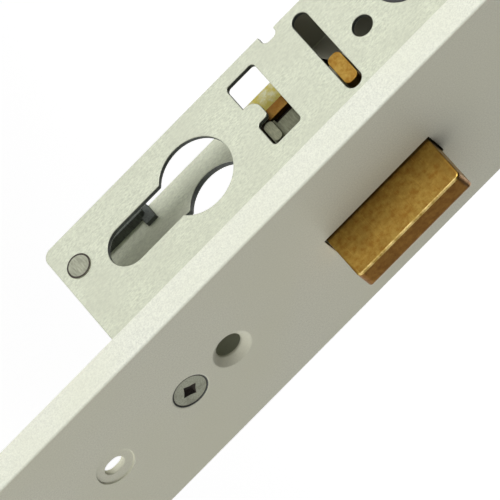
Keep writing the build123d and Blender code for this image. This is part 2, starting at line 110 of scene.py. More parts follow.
class LockSizes(bpy.types.PropertyGroup):
    """Sizes of the small shapes that the finish adds."""

    plate_edge: bpy.props.FloatProperty(
        name="Plate edge", description="Rounding that blanking leaves on the plates' edges",
        default=0.16 * MM, unit="LENGTH")
    forend_edge: bpy.props.FloatProperty(
        name="Forend edge", description="Rounding of the forend's cut edges under the paint",
        default=0.18 * MM, unit="LENGTH")
    bolt_edge: bpy.props.FloatProperty(
        name="Bolt edge", description="Rounding of the cast bolts' edges",
        default=0.22 * MM, unit="LENGTH")
    small_edge: bpy.props.FloatProperty(
        name="Small edge", description="Rounding of levers, pins and blocks",
        default=0.14 * MM, unit="LENGTH")
    rivet_rim: bpy.props.FloatProperty(
        name="Rivet rim", description="Width of the dark rim of dirt and painted shade round a rivet's head",
        default=0.4 * MM, unit="LENGTH")
    rivet_dish: bpy.props.FloatProperty(
        name="Rivet dish", description="Depth of the dish that the riveting punch leaves",
        default=0.07 * MM, unit="LENGTH")
    rivet_ring: bpy.props.FloatProperty(
        name="Rivet ring", description="Width of the slope inside the rim",
        default=0.45 * MM, unit="LENGTH")
    rivet_centre: bpy.props.FloatProperty(
        name="Rivet centre", description="Width of the raised ring at the dish's middle",
        default=0.6 * MM, unit="LENGTH")
    shank_radius: bpy.props.FloatProperty(
        name="Shank radius", description="Outer radius of a screw's thread",
        default=2.0 * MM, unit="LENGTH")
    head_height: bpy.props.FloatProperty(
        name="Head height", description="Height of a screw's flared head",
        default=1.5 * MM, unit="LENGTH")
    head_rim: bpy.props.FloatProperty(
        name="Head rim", description="Width of the dark rim of dirt and painted shade round a screw's head",
        default=0.2 * MM, unit="LENGTH")
    head_ring: bpy.props.FloatProperty(
        name="Head ring", description="Width of the slope inside a screw's rim",
        default=0.8 * MM, unit="LENGTH")
    head_dish: bpy.props.FloatProperty(
        name="Head dish", description="Depth of the soft dish in a screw's head",
        default=0.05 * MM, unit="LENGTH")
    recess_reach: bpy.props.FloatProperty(
        name="Recess reach", description="From a screw's axis to a point of its cross recess",
        default=2.15 * MM, unit="LENGTH")
    recess_waist: bpy.props.FloatProperty(
        name="Recess waist", description="From a screw's axis to the hollow between two points",
        default=1.36 * MM, unit="LENGTH")
    recess_depth: bpy.props.FloatProperty(
        name="Recess depth", description="Depth of a screw's cross recess",
        default=1.25 * MM, unit="LENGTH")
    recess_taper: bpy.props.FloatProperty(
        name="Recess taper", description="Width of the recess's bottom as a share of its mouth",
        default=0.62)
    recess_turn: bpy.props.FloatProperty(
        name="Recess turn", description="How far the screws were turned when they came tight",
        default=math.radians(14), subtype="ANGLE")


class LockColours(bpy.types.PropertyGroup):
    """Colours of the finishes, as sRGB hex values."""

    paint: bpy.props.StringProperty(
        name="Paint", description="Off-white stoving paint of the forend", default="E6E8DA")
    # Painted shade: a darker, warmer paint that stands in for the shade on the forend's front,
    # which faces away from the key light.
    front_shade_paint: bpy.props.StringProperty(
        name="Front shade paint", description="Paint darkened as painted shade on the forend's front", default="D6CFB2")
    zinc: bpy.props.StringProperty(
        name="Zinc", description="Zinc plate on the case plates", default="D2D6C2")
    grease: bpy.props.StringProperty(
        name="Grease", description="Dried grease inside the case", default="B9AC52")
    # Painted shade: on the case plate's inner face this colour darkens the closed upper part and
    # the side towards the forend, standing in for the shade inside the case.
    oil: bpy.props.StringProperty(
        name="Oil film and shade", description="Painted shade and oil film in the closed part of the case",
        default="A9A899")
    # Also painted shade: this dark grey stands in for the shade on hole walls, the forend's window
    # walls and countersinks, and the pan's rear flange.
    cut: bpy.props.StringProperty(
        name="Cut steel", description="Torn steel and painted shade on the walls of the punched holes",
        default="5A5E5A")
    old_oil: bpy.props.StringProperty(
        name="Old oil", description="Brown oil dried on the brass in the case", default="6E4620")
    brass_light: bpy.props.StringProperty(
        name="Light brass", description="Clean brass of the bolts", default="B4944A")
    brass_dark: bpy.props.StringProperty(
        name="Dark brass", description="Tarnished brass of the bolts", default="926A2B")
    brass_red: bpy.props.StringProperty(
        name="Red brass", description="Reddish tarnish and painted shade on the bolt's nose", default="80561F")
    brass_worn_and_highlight: bpy.props.StringProperty(
        name="Worn brass and highlight", description="Brass edges that wear keeps bright, and a painted highlight", default="E9CF88")
    steel: bpy.props.StringProperty(
        name="Steel", description="Plain steel levers and pins", default="727360")
    plated: bpy.props.StringProperty(
        name="Plated steel", description="Zinc-plated rivets and screws", default="A6A895")
    grime_and_shade: bpy.props.StringProperty(
        name="Grime", description="Dirt and painted shade in the recesses of rivets and screws", default="352F29")
    spring: bpy.props.StringProperty(
        name="Spring wire", description="Oiled spring wire", default="6E6C64")
    cast_zinc: bpy.props.StringProperty(
        name="Cast zinc", description="Die-cast follower", default="94948F")
    nylon: bpy.props.StringProperty(
        name="Nylon", description="Black nylon bushes", default="2B2B2D")


class LockStage(bpy.types.PropertyGroup):
    """Camera, lights and floor."""

    azimuth: bpy.props.FloatProperty(
        name="Azimuth", description="Camera's turn round the lock, from -Y towards +X",
        default=math.radians(37.96), subtype="ANGLE")
    elevation: bpy.props.FloatProperty(
        name="Elevation", description="Camera's height over the horizon",
        default=math.radians(5.22), subtype="ANGLE")
    roll: bpy.props.FloatProperty(
        name="Roll", description="Camera's turn about its own axis, which lays the lock slanting",
        default=math.radians(44.68), subtype="ANGLE")
    distance: bpy.props.FloatProperty(
        name="Distance", description="From the camera to the point it looks at",
        default=1.6955, unit="LENGTH")
    lens: bpy.props.FloatProperty(
        name="Lens", description="Focal length of the long lens", default=596.06)
    aim: bpy.props.FloatVectorProperty(
        name="Aim", description="The point looked at, measured from the cylinder axis",
        default=(0.01126, 0.00837, -0.00356), size=3, subtype="XYZ")
    key_power: bpy.props.FloatProperty(
        name="Key light", description="Power of the soft light on the cover plate's side",
        default=38.0, unit="POWER")
    key_place: bpy.props.FloatVectorProperty(
        name="Key place", description="The key light, measured from the lock's middle",
        default=(-0.55, -2.35, 0.9), size=3, subtype="XYZ")
    key_size: bpy.props.FloatProperty(
        name="Key size", description="Side of the square key light", default=1.0, unit="LENGTH")
    back_power: bpy.props.FloatProperty(
        name="Back light", description="Power of the soft light on the case plate's side",
        default=20.0, unit="POWER")
    back_place: bpy.props.FloatVectorProperty(
        name="Back place", description="The back light, measured from the lock's middle",
        default=(-0.4, 2.2, 0.9), size=3, subtype="XYZ")
    back_size: bpy.props.FloatProperty(
        name="Back size", description="Side of the square back light", default=1.4, unit="LENGTH")
    sky: bpy.props.FloatProperty(
        name="Sky", description="Strength of the even light from all round", default=0.06)
    floor_glow: bpy.props.FloatProperty(
        name="Floor glow", description="Light of the pale floor itself, which keeps it white",
        default=0.62)
    floor_size: bpy.props.FloatProperty(
        name="Floor size", description="Side of the square floor", default=60.0, unit="LENGTH")


# Places

def screw_heights():
    """Heights of the two forend screws' axes, whose heads are as wide as their node."""
    low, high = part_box("forend_screws")
    return low[2] + high[1], high[2] - high[1]


def from_nearest(face, heights):
    """Distance from a face's middle to the nearest of some axes along X at Y = 0."""
    return min(math.hypot(face.center.y, face.center.z - height) for height in heights)


def pan_face():
    """Y of the case plate's inner face, where the stop pin ends."""
    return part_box("follower_stop_pin")[1][1]


# Materials

def linear(code):
    """Turn an sRGB hex colour into the linear RGBA that shaders take."""
    channels = [int(code[at:at + 2], 16) / 255 for at in (0, 2, 4)]
    curve = [c / 12.92 if c <= 0.04045 else ((c + 0.055) / 1.055) ** 2.4 for c in channels]
    return (*curve, 1.0)


def add_node(tree, kind, settings=None, inputs=None, links=None):
    """Add one shader node, set its attributes and sockets, and link its inputs."""
    node = tree.nodes.new(kind)
    for key, value in (settings or {}).items():
        setattr(node, key, value)
    for key, value in (inputs or {}).items():
        node.inputs[key].default_value = value
    for key, source in (links or {}).items():
        tree.links.new(source, node.inputs[key])
    return node


def new_material(name, **constants):
    """Start a material and give its shader the values that are the same all over."""
    material = bpy.data.materials.new(name)
    material.use_nodes = True
    tree = material.node_tree
    shader = tree.nodes["Principled BSDF"]
    for key, value in constants.items():
        shader.inputs[key.replace("_", " ")].default_value = value
    place = add_node(tree, "ShaderNodeTexCoord").outputs["Object"]
    return material, tree, shader, place


def noise(tree, place, size, detail=3.0, rough=0.55, stretch=(1, 1, 1)):
    """Noise whose blobs are about `size` across, stretched along the axes."""
    scale = tuple(1 / (size * s) for s in stretch)
    grid = add_node(tree, "ShaderNodeMapping", inputs={"Scale": scale}, links={"Vector": place})
    return add_node(tree, "ShaderNodeTexNoise",
                    inputs={"Scale": 1.0, "Detail": detail, "Roughness": rough},
                    links={"Vector": grid.outputs["Vector"]}).outputs["Fac"]


def span(tree, value, low, high, to_low=0.0, to_high=1.0):
    """Map a value from one range to another, and clamp it."""
    inputs = {1: low, 2: high, 3: to_low, 4: to_high}
    return add_node(tree, "ShaderNodeMapRange", inputs=inputs, links={0: value}).outputs[0]


def blend_colours(tree, share, first, second):
    """Mix two colours, each a hex value or a socket, by a 0 to 1 share."""
    mixer = add_node(tree, "ShaderNodeMix", {"data_type": "RGBA"}, links={0: share})
    for socket, colour in ((6, first), (7, second)):
        if isinstance(colour, str):
            mixer.inputs[socket].default_value = linear(colour)
        else:
            tree.links.new(colour, mixer.inputs[socket])
    return mixer.outputs[2]


def shade_by(code, factor):
    """Darken or lighten a hex colour by a factor on its sRGB channels."""
    channels = [min(255, round(int(code[at:at + 2], 16) * factor)) for at in (0, 2, 4)]
    return "".join(f"{c:02X}" for c in channels)


def bump(tree, shader, height, distance, strength=1.0):
    """Raise the surface by a height pattern, `distance` deep."""
    relief = add_node(tree, "ShaderNodeBump", inputs={"Strength": strength, "Distance": distance},
                      links={"Height": height})
    tree.links.new(relief.outputs["Normal"], shader.inputs["Normal"])


def near_point(tree, place, centre, radii):
    """1 at a point, falling to 0 on an ellipsoid round it."""
    scale = tuple(1 / r for r in radii)
    shift = tuple(-c / r for c, r in zip(centre, radii))
    grid = add_node(tree, "ShaderNodeMapping", inputs={"Scale": scale, "Location": shift},
                    links={"Vector": place})
    length = add_node(tree, "ShaderNodeVectorMath", {"operation": "LENGTH"},
                      links={0: grid.outputs["Vector"]})
    return span(tree, length.outputs["Value"], 0.35, 1.0, 1.0, 0.0)


def multiply(tree, first, second):
    """Multiply two values."""
    return add_node(tree, "ShaderNodeMath", {"operation": "MULTIPLY"},
                    links={0: first, 1: second}).outputs[0]


def stoving_paint(colours):
    """Sprayed and baked paint: satin, with a faint orange peel and fine specks."""
    material, tree, shader, place = new_material(
        "stoving_paint", Roughness=0.46, IOR=1.5, Specular_IOR_Level=0.35)
    speck = noise(tree, place, 0.35 * MM, 2.0, 0.7)
    drift = noise(tree, place, 28 * MM, 2.0)
    speckled = blend_colours(tree, span(tree, speck, 0.3, 0.7), shade_by(colours.paint, 0.93),
                             shade_by(colours.paint, 1.05))
    red_green, blue = shade_by(colours.paint, 0.985)[:4], shade_by(colours.paint, 0.955)[4:]
    colour = blend_colours(tree, span(tree, drift, 0.35, 0.7, 0.0, 0.7), speckled,
                           red_green + blue)
    axes = add_node(tree, "ShaderNodeSeparateXYZ", links={"Vector": place}).outputs
    near_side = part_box("forend")[0][1]
    # Painted shade: the forend's front, away from its near side, is mixed about a third of the way
    # towards the darker front paint, standing in for the shade there.
    front = span(tree, axes["X"], -2.1 * MM, -1.9 * MM, 0.0, 0.36)
    off_side = span(tree, axes["Y"], near_side + 0.1 * MM, near_side + 0.4 * MM)
    colour = blend_colours(tree, multiply(tree, front, off_side), colour, colours.front_shade_paint)
    tree.links.new(colour, shader.inputs["Base Color"])
    bump(tree, shader, noise(tree, place, 1.6 * MM, 2.0), 0.012 * MM, 0.6)
    return material


def zinc_plate(colours, name="zinc_plated_steel", with_grease_and_shade=False):
    """Rolled steel with a passivated zinc coat: pale, faintly green, finely speckled and dull."""
    material, tree, shader, place = new_material(name, Metallic=0.35, Specular_IOR_Level=0.4)
    grain = noise(tree, place, 0.3 * MM, 2.0, 0.7, (1, 1, 2.5))
    cloud = noise(tree, place, 9 * MM, 3.0)
    colour = blend_colours(tree, span(tree, grain, 0.3, 0.7), shade_by(colours.zinc, 0.92),
                           shade_by(colours.zinc, 1.07))
    cool = shade_by(colours.zinc, 0.96)
    colour = blend_colours(tree, span(tree, cloud, 0.4, 0.7, 0.0, 0.6), colour, cool)
    if with_grease_and_shade:
        patch_at = CYLINDER_AXIS + Vector((-11.0, 5.6, 19.5)) * MM
        patch = near_point(tree, place, patch_at, (9 * MM, 3 * MM, 11 * MM))
        blots = span(tree, noise(tree, place, 2.2 * MM, 4.0, 0.65), 0.36, 0.58, 0.35, 1.0)
        colour = blend_colours(tree, multiply(tree, patch, blots), colour, colours.grease)
        hub_at = CYLINDER_AXIS + Vector((3.0, 5.6, 8.0)) * MM
        smear = multiply(tree, near_point(tree, place, hub_at, (9 * MM, 3 * MM, 7 * MM)), cloud)
        colour = blend_colours(tree, smear, colour, shade_by(colours.grease, 1.1))
        # Painted shade: the inner face is darkened where the case is closed above and towards the
        # forend, standing in for the shade inside the case.
        axes = add_node(tree, "ShaderNodeSeparateXYZ", links={"Vector": place}).outputs
        inside = span(tree, axes["Y"], pan_face() + 0.05 * MM, pan_face() + 0.3 * MM, 1.0, 0.0)
        closed = span(tree, axes["Z"], CYLINDER_AXIS.z + 27 * MM, CYLINDER_AXIS.z + 33 * MM)
        colour = blend_colours(tree, multiply(tree, closed, inside), colour, colours.oil)
        deep = span(tree, axes["X"], CYLINDER_AXIS.x - 9 * MM, CYLINDER_AXIS.x - 1 * MM,
                    0.0, 0.75)
        colour = blend_colours(tree, multiply(tree, deep, inside), colour, colours.oil)
    tree.links.new(colour, shader.inputs["Base Color"])
    tree.links.new(span(tree, grain, 0.2, 0.8, 0.42, 0.58), shader.inputs["Roughness"])
    bump(tree, shader, grain, 0.004 * MM, 0.5)
    return material


def sheared_edge(colours):
    """Rolled-over rim of a blanked edge: smoother and greyer than the flat zinc."""
    material, tree, shader, place = new_material(
        "burnished_zinc_edge", Metallic=0.35, Roughness=0.33)
    grain = noise(tree, place, 0.3 * MM, 2.0, 0.7, (1, 4, 1))
    colour = blend_colours(tree, grain, shade_by(colours.zinc, 0.82), shade_by(colours.zinc, 1.0))
    tree.links.new(colour, shader.inputs["Base Color"])
    return material


def punched_wall_and_shade(colours):
    """Wall of a punched hole: the zinc is thin on the torn steel, so it is dark; the dark grey is
    also painted shade, where hole walls, window walls and the pan's flange lie in shade.
    """
    material, tree, shader, place = new_material(
        "punched_steel_wall", Metallic=0.5, Specular_IOR_Level=0.3)
    tear = noise(tree, place, 0.3 * MM, 3.0, 0.7, (1, 6, 1))
    colour = blend_colours(tree, span(tree, tear, 0.3, 0.7), shade_by(colours.cut, 0.8),
                           shade_by(colours.cut, 1.2))
    tree.links.new(colour, shader.inputs["Base Color"])
    tree.links.new(span(tree, tear, 0.3, 0.7, 0.5, 0.68), shader.inputs["Roughness"])
    bump(tree, shader, tear, 0.01 * MM, 0.6)
    return material


def grime_and_shade(colours):
    """Dirt packed into a recess, which also stands in as painted shade in recesses, gaps and under
    heads: matt, near black, with rusty crumbs.
    """
    material, tree, shader, place = new_material("grimy_recess", Roughness=0.8)
    crumbs = noise(tree, place, 0.25 * MM, 3.0, 0.7)
    colour = blend_colours(tree, span(tree, crumbs, 0.35, 0.7), shade_by(colours.grime_and_shade, 0.7),
                           shade_by(colours.grime_and_shade, 1.5))
    tree.links.new(colour, shader.inputs["Base Color"])
    bump(tree, shader, crumbs, 0.02 * MM)
    return material


def cast_brass(name, colours, light, dark, oil_and_shade_inside=False):
    """Fettled brass casting gone dull: mottled tarnish over a warm metal, with fine scratches."""
    material, tree, shader, place = new_material(name, Metallic=1.0)
    mottle = noise(tree, place, 1.3 * MM, 4.0, 0.65)
    stain = noise(tree, place, 7 * MM, 3.0)
    scratch = noise(tree, place, 0.25 * MM, 2.0, 0.6, (14, 1, 1))
    colour = blend_colours(tree, span(tree, mottle, 0.36, 0.66), dark, light)
    colour = blend_colours(tree, span(tree, stain, 0.45, 0.75, 0.0, 0.55), colour,
                           shade_by(dark, 0.82))
    colour = blend_colours(tree, span(tree, scratch, 0.6, 0.75, 0.0, 0.35), colour,
                           shade_by(light, 1.18))
    if oil_and_shade_inside:
        # Inside the case the brass takes brown oil stains and, in its closed upper part, the grey
        # oil-film colour. Painted shade: under the stud and on the recessed face behind the lever
        # it is darkened to near black, where shade falls.
        axes = add_node(tree, "ShaderNodeSeparateXYZ", links={"Vector": place}).outputs
        near_face = -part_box("deadbolt")[1][1]
        inside = span(tree, axes["X"], -8 * MM, -5 * MM, 1.0, 0.0)
        recessed = span(tree, axes["Y"], near_face - 0.5 * MM, near_face - 0.2 * MM)
        deep = multiply(tree, inside, recessed)
        below_stud = span(tree, axes["Z"], 18.2 * MM, 19.4 * MM, 1.0, 0.0)
        shade_under_stud = multiply(tree, inside, below_stud)
        upper = multiply(tree, deep, span(tree, axes["Z"], 29 * MM, 31 * MM))
        colour = blend_colours(tree, multiply(tree, inside, stain), colour, colours.old_oil)
        colour = blend_colours(tree, shade_under_stud, colour, colours.grime_and_shade)
        colour = blend_colours(tree, deep, colour, colours.grime_and_shade)
        colour = blend_colours(tree, upper, colour, colours.oil)
    tree.links.new(colour, shader.inputs["Base Color"])
    tree.links.new(span(tree, mottle, 0.3, 0.7, 0.52, 0.36), shader.inputs["Roughness"])
    bump(tree, shader, mottle, 0.03 * MM, 0.5)
    return material


def worn_brass_and_highlight(colours):
    """Brass edge rubbed bright by the strike plate; on the deadbolt's nose edge it is also a
    painted highlight.
    """
    material, tree, shader, place = new_material("rubbed_brass_edge", Metallic=1.0, Roughness=0.3)
    wear = noise(tree, place, 1.8 * MM, 3.0, 0.6)
    colour = blend_colours(tree, span(tree, wear, 0.35, 0.62), shade_by(colours.brass_light, 0.95),
                           colours.brass_worn_and_highlight)
    tree.links.new(colour, shader.inputs["Base Color"])
    return material


def plain_steel(name, code, grain_size, metal=0.9, gloss=(0.38, 0.52)):
    """Steel as rolled or turned: grey with a slight warm oil film and fine tool lines."""
    material, tree, shader, place = new_material(name, Metallic=metal)
    lines = noise(tree, place, grain_size, 2.0, 0.6, (6, 1, 1))
    film = noise(tree, place, 2.6 * MM, 3.0)
    colour = blend_colours(tree, span(tree, lines, 0.3, 0.7), shade_by(code, 0.88),
                           shade_by(code, 1.1))
    colour = blend_colours(tree, span(tree, film, 0.5, 0.75, 0.0, 0.5), colour,
                           shade_by(code, 0.72))
    tree.links.new(colour, shader.inputs["Base Color"])
    tree.links.new(span(tree, film, 0.3, 0.7, *gloss), shader.inputs["Roughness"])
    bump(tree, shader, lines, 0.005 * MM, 0.5)
    return material


def moulded_nylon(colours):
    """Black nylon as moulded: a soft sheen over a fine spark-eroded texture."""
    material, tree, shader, place = new_material("moulded_nylon", Roughness=0.48, IOR=1.53)
    pits = noise(tree, place, 0.22 * MM, 2.0, 0.7)
    colour = blend_colours(tree, span(tree, pits, 0.3, 0.7), shade_by(colours.nylon, 0.8),
                           shade_by(colours.nylon, 1.3))
    tree.links.new(colour, shader.inputs["Base Color"])
    bump(tree, shader, pits, 0.01 * MM, 0.6)
    return material


def finishes():
    """All the finishes by name, made once."""
    if "stoving_paint" not in bpy.data.materials:
        colours = bpy.context.scene.lock_colours
        stoving_paint(colours)
        zinc_plate(colours)
        zinc_plate(colours, "greasy_zinc_plated_steel", with_grease_and_shade=True)
        sheared_edge(colours)
        light, dark = colours.brass_light, colours.brass_dark
        cast_brass("cast_brass", colours, light, dark)
        cast_brass("oily_cast_brass", colours, light, dark, oil_and_shade_inside=True)
        cast_brass("clean_cast_brass", colours, shade_by(light, 1.02), shade_by(dark, 1.05))
        cast_brass("tarnished_cast_brass", colours, colours.brass_dark, colours.brass_red)
        worn_brass_and_highlight(colours)
        plain_steel("rolled_steel", colours.steel, 0.25 * MM)
        plain_steel("turned_steel", shade_by(colours.steel, 1.15), 0.18 * MM)
        plain_steel("plated_steel", colours.plated, 0.3 * MM, 0.6)
        punched_wall_and_shade(colours)
        grime_and_shade(colours)
        plain_steel("spring_wire", colours.spring, 0.12 * MM, gloss=(0.25, 0.4))
        plain_steel("die_cast_zinc", colours.cast_zinc, 0.5 * MM, 0.7, (0.45, 0.6))
        moulded_nylon(colours)
    return bpy.data.materials


# Modelling

def select_only(obj):
    """Make one object the only selected and active one."""
    for other in bpy.context.selected_objects:
        other.select_set(False)
    obj.select_set(True)
    bpy.context.view_layer.objects.active = obj


def apply_bevel(obj, width, segments=2, angle=30, edge_finish=-1):
    """Round the edges sharper than `angle` degrees, and give the new faces a finish."""
    select_only(obj)
    modifier = obj.modifiers.new("edges", "BEVEL")
    modifier.width = width
    modifier.segments = segments
    modifier.limit_method = "ANGLE"
    modifier.angle_limit = math.radians(angle)
    modifier.use_clamp_overlap = False
    modifier.material = edge_finish
    bpy.ops.object.modifier_apply(modifier=modifier.name)


def merged_copy(node, name):
    """Copy a frame node's mesh, with its doubles merged and its flat faces joined."""
    mesh = frame["nodes"][node].data.copy()
    mesh.name = name
    obj = bpy.data.objects.new(name, mesh)
    bpy.context.scene.collection.objects.link(obj)
    mesh.materials.clear()
    select_only(obj)
    bpy.ops.object.mode_set(mode="EDIT")
    bpy.ops.mesh.select_all(action="SELECT")
    bpy.ops.mesh.remove_doubles(threshold=0.002 * MM)
    bpy.ops.mesh.dissolve_limited(angle_limit=math.radians(0.6))
    bpy.ops.object.mode_set(mode="OBJECT")
    bpy.ops.mesh.customdata_custom_splitnormals_clear()
    return obj


def select_faces(obj, test):
    """Enter edit mode with only the faces selected that pass a test."""
    select_only(obj)
    bpy.ops.object.mode_set(mode="EDIT")
    bpy.ops.mesh.select_mode(type="FACE")
    bpy.ops.mesh.select_all(action="DESELECT")
    bpy.ops.object.mode_set(mode="OBJECT")
    for face in obj.data.polygons:
        face.select = test(face)
    bpy.ops.object.mode_set(mode="EDIT")


def assign_finish(obj, finish, test):
    """Give the faces that pass a test one more finish."""
    obj.data.materials.append(finishes()[finish])
    slot = len(obj.data.materials) - 1
    for face in obj.data.polygons:
        if test(face):
            face.material_index = slot


def finish_piece(obj, node, *materials):
    """Shade a piece, give it its materials, and let it ride where its node rides."""
    for material in materials:
        obj.data.materials.append(finishes()[material])
    select_only(obj)
    bpy.ops.object.shade_smooth_by_angle(angle=math.radians(28))
    flatten = obj.modifiers.new("flat_faces", "WEIGHTED_NORMAL")
    flatten.keep_sharp = True
    bpy.ops.object.modifier_apply(modifier=flatten.name)
    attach(obj, BODY_OF[node])
    return obj


def soften(node, width, finish, edge_finish=None, segments=2):
    """Stand a round-edged, finished copy of a node in that node's place."""
    obj = merged_copy(node, f"{node}_finished")
    materials = [finish] + ([edge_finish] if edge_finish else [])
    for material in materials:
        obj.data.materials.append(finishes()[material])
    apply_bevel(obj, width, segments, edge_finish=1 if edge_finish else -1)
    finish_piece(obj, node)
    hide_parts(node)
    return obj


def polish(node, finish):
    """Give a node whose shape is right a better material."""
    obj = frame["nodes"][node]
    obj.data.materials.clear()
    obj.data.materials.append(finishes()[finish])


def sizes():
    """The size properties."""
    return bpy.context.scene.lock_sizes


class LOCK_OT_forend(bpy.types.Operator):
    """Finish the channel forend with its paint"""

    bl_idname = "lock.forend"
    bl_label = "Forend"

    def execute(self, context):
        forend = soften("forend", sizes().forend_edge, "stoving_paint", segments=3)
        sink_reach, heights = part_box("forend_screws")[1][1] + 0.2 * MM, screw_heights()
        # Painted shade: the countersinks round the screw heads and the walls of the bolts' windows
        # take the dark wall finish, which stands in for the shade in those gaps.
        assign_finish(forend, "punched_steel_wall", lambda face: (
            abs(face.normal.x) < 0.99 and from_nearest(face, heights) < sink_reach))
        for bolt in ("deadbolt", "latch_bolt"):
            low, high = (Vector(corner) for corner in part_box(bolt))
            assign_finish(forend, "punched_steel_wall", lambda face: (
                abs(face.normal.x) < 0.3 and abs(face.center.y) < high.y + MM
                and low.z - MM < face.center.z < high.z + MM))
        return {"FINISHED"}


def is_wall(face):
    """Tell whether a face stands square to the plates."""
    return abs(face.normal.y) < 0.1


class LOCK_OT_plates(bpy.types.Operator):
    """Finish the two case plates with rounded blanked edges"""

    bl_idname = "lock.plates"
    bl_label = "Case plates"

    def execute(self, context):
        cover = soften("cover_plate", sizes().plate_edge, "zinc_plated_steel",
                       "burnished_zinc_edge")
        pan = soften("case_plate", sizes().plate_edge, "greasy_zinc_plated_steel",
                     "burnished_zinc_edge")
        # The hole walls and edges take the dark cut-steel finish, which is partly painted shade.
        assign_finish(cover, "punched_steel_wall", is_wall)
        flat = pan_face()
        assign_finish(pan, "punched_steel_wall", lambda face: is_wall(face) and all(
            pan.data.vertices[v].co.y > flat - TOUCH for v in face.vertices))
        # Painted shade: the rear flange below the tab takes the dark wall finish, standing in for
        # the shade inside the case.
        tab_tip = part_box("case_plate")[0][0] + 4.4 * MM
        tab_top = -12 * MM
        assign_finish(pan, "punched_steel_wall", lambda face: (
            face.center.x < tab_tip and face.center.z < tab_top
            and face.center.y < flat - 0.05 * MM))
        return {"FINISHED"}


class LOCK_OT_blocks(bpy.types.Operator):
    """Finish the fixing blocks, the latch guide and the stop pin"""

    bl_idname = "lock.blocks"
    bl_label = "Blocks and stop pin"

    def execute(self, context):
        for node in ("lower_fixing_block", "upper_fixing_block", "latch_guide",
                     "follower_stop_pin"):
            soften(node, sizes().small_edge, "turned_steel")
        return {"FINISHED"}


def add_rod(vertices, radius, start, end, height):
    """Add a cylinder along X, with its place in its mesh."""
    bpy.ops.mesh.primitive_cylinder_add(
        vertices=vertices, radius=radius, depth=end - start,
        location=((start + end) / 2, 0, height), rotation=(0, math.pi / 2, 0))
    bpy.ops.object.transform_apply(location=True, rotation=True, scale=True)
    return bpy.context.active_object


def make_punch(front, height):
    """Model the cross punch: an eight-sided rod, waisted, tapered to its tip and turned."""
    overlap = 0.1 * MM
    punch = add_rod(8, sizes().recess_reach, front - sizes().recess_depth, front + overlap, height)
    bpy.ops.object.mode_set(mode="EDIT")
    bpy.ops.mesh.select_mode(type="VERT")
    bpy.ops.mesh.select_all(action="DESELECT")
    bpy.ops.object.mode_set(mode="OBJECT")
    for vertex in punch.data.vertices:
        angle = math.atan2(vertex.co.z - height, vertex.co.y)
        vertex.select = round(angle / (math.pi / 4)) % 2 == 1
    bpy.ops.object.mode_set(mode="EDIT")
    centre = (front, 0, height)
    waist = sizes().recess_waist / sizes().recess_reach
    bpy.ops.transform.resize(value=(1, waist, waist), center_override=centre)
    bpy.ops.object.mode_set(mode="OBJECT")
    select_faces(punch, lambda face: face.normal.x < -0.9)
    taper = sizes().recess_taper
    bpy.ops.transform.resize(value=(1, taper, taper), center_override=centre)
    bpy.ops.mesh.select_all(action="SELECT")
    bpy.ops.transform.rotate(value=-sizes().recess_turn, orient_axis="X", center_override=centre)
    bpy.ops.object.mode_set(mode="OBJECT")
    return punch


def make_screw(tip, front, height, head_radius):
    """Model one countersunk screw: a shank, a flared head with a soft dish, and a cross recess."""
    neck = front - sizes().head_height
    screw = add_rod(64, sizes().shank_radius, tip, neck, height)
    screw.name = "forend_screw"
    select_faces(screw, lambda face: face.center.x > neck - TOUCH)
    bpy.ops.mesh.extrude_region_move(
        TRANSFORM_OT_translate={"value": (sizes().head_height, 0, 0)})
    flare = head_radius / sizes().shank_radius
    bpy.ops.transform.resize(value=(1, flare, flare), center_override=(front, 0, height))
    bpy.ops.mesh.inset(thickness=sizes().head_rim)
    bpy.ops.mesh.inset(thickness=sizes().head_ring, depth=-sizes().head_dish)
    bpy.ops.object.mode_set(mode="OBJECT")
    punch = make_punch(front, height)
    cut = screw.modifiers.new("recess", "BOOLEAN")
    cut.operation = "DIFFERENCE"
    cut.object = punch
    select_only(screw)
    bpy.ops.object.modifier_apply(modifier=cut.name)
    bpy.data.objects.remove(punch)
    return screw


def join_screws(screws, node):
    """Join the screws to one piece, finish it and put it in its node's place."""
    joined = screws[0]
    select_only(joined)
    for screw in screws:
        screw.select_set(True)
    bpy.ops.object.join()
    joined.name = f"{node}_finished"
    finish_piece(joined, node, "plated_steel")
    front, head_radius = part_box(node)[1][:2]
    rim, heights = head_radius - sizes().head_rim - TOUCH, screw_heights()

    # Dirt and painted shade: the cross recess and the rim round each head take the near-black dirt
    # colour, which also stands in for the shade in the recess and in the gap at the rim.
    def in_grime_and_shade(face):
        radius = from_nearest(face, heights)
        in_recess = front - 1.4 * MM < face.center.x < front - 0.1 * MM
        on_rim = face.center.x > front - TOUCH and radius > rim
        return (in_recess and radius < sizes().recess_reach) or on_rim

    assign_finish(joined, "grimy_recess", in_grime_and_shade)
    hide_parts(node)


class LOCK_OT_screws(bpy.types.Operator):
    """Finish the forend screws"""

    bl_idname = "lock.screws"
    bl_label = "Forend screws"

    def execute(self, context):
        low, high = (Vector(corner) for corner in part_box("forend_screws"))
        screws = [make_screw(low.x, high.x, height, high.y) for height in screw_heights()]
        join_screws(screws, "forend_screws")
        return {"FINISHED"}


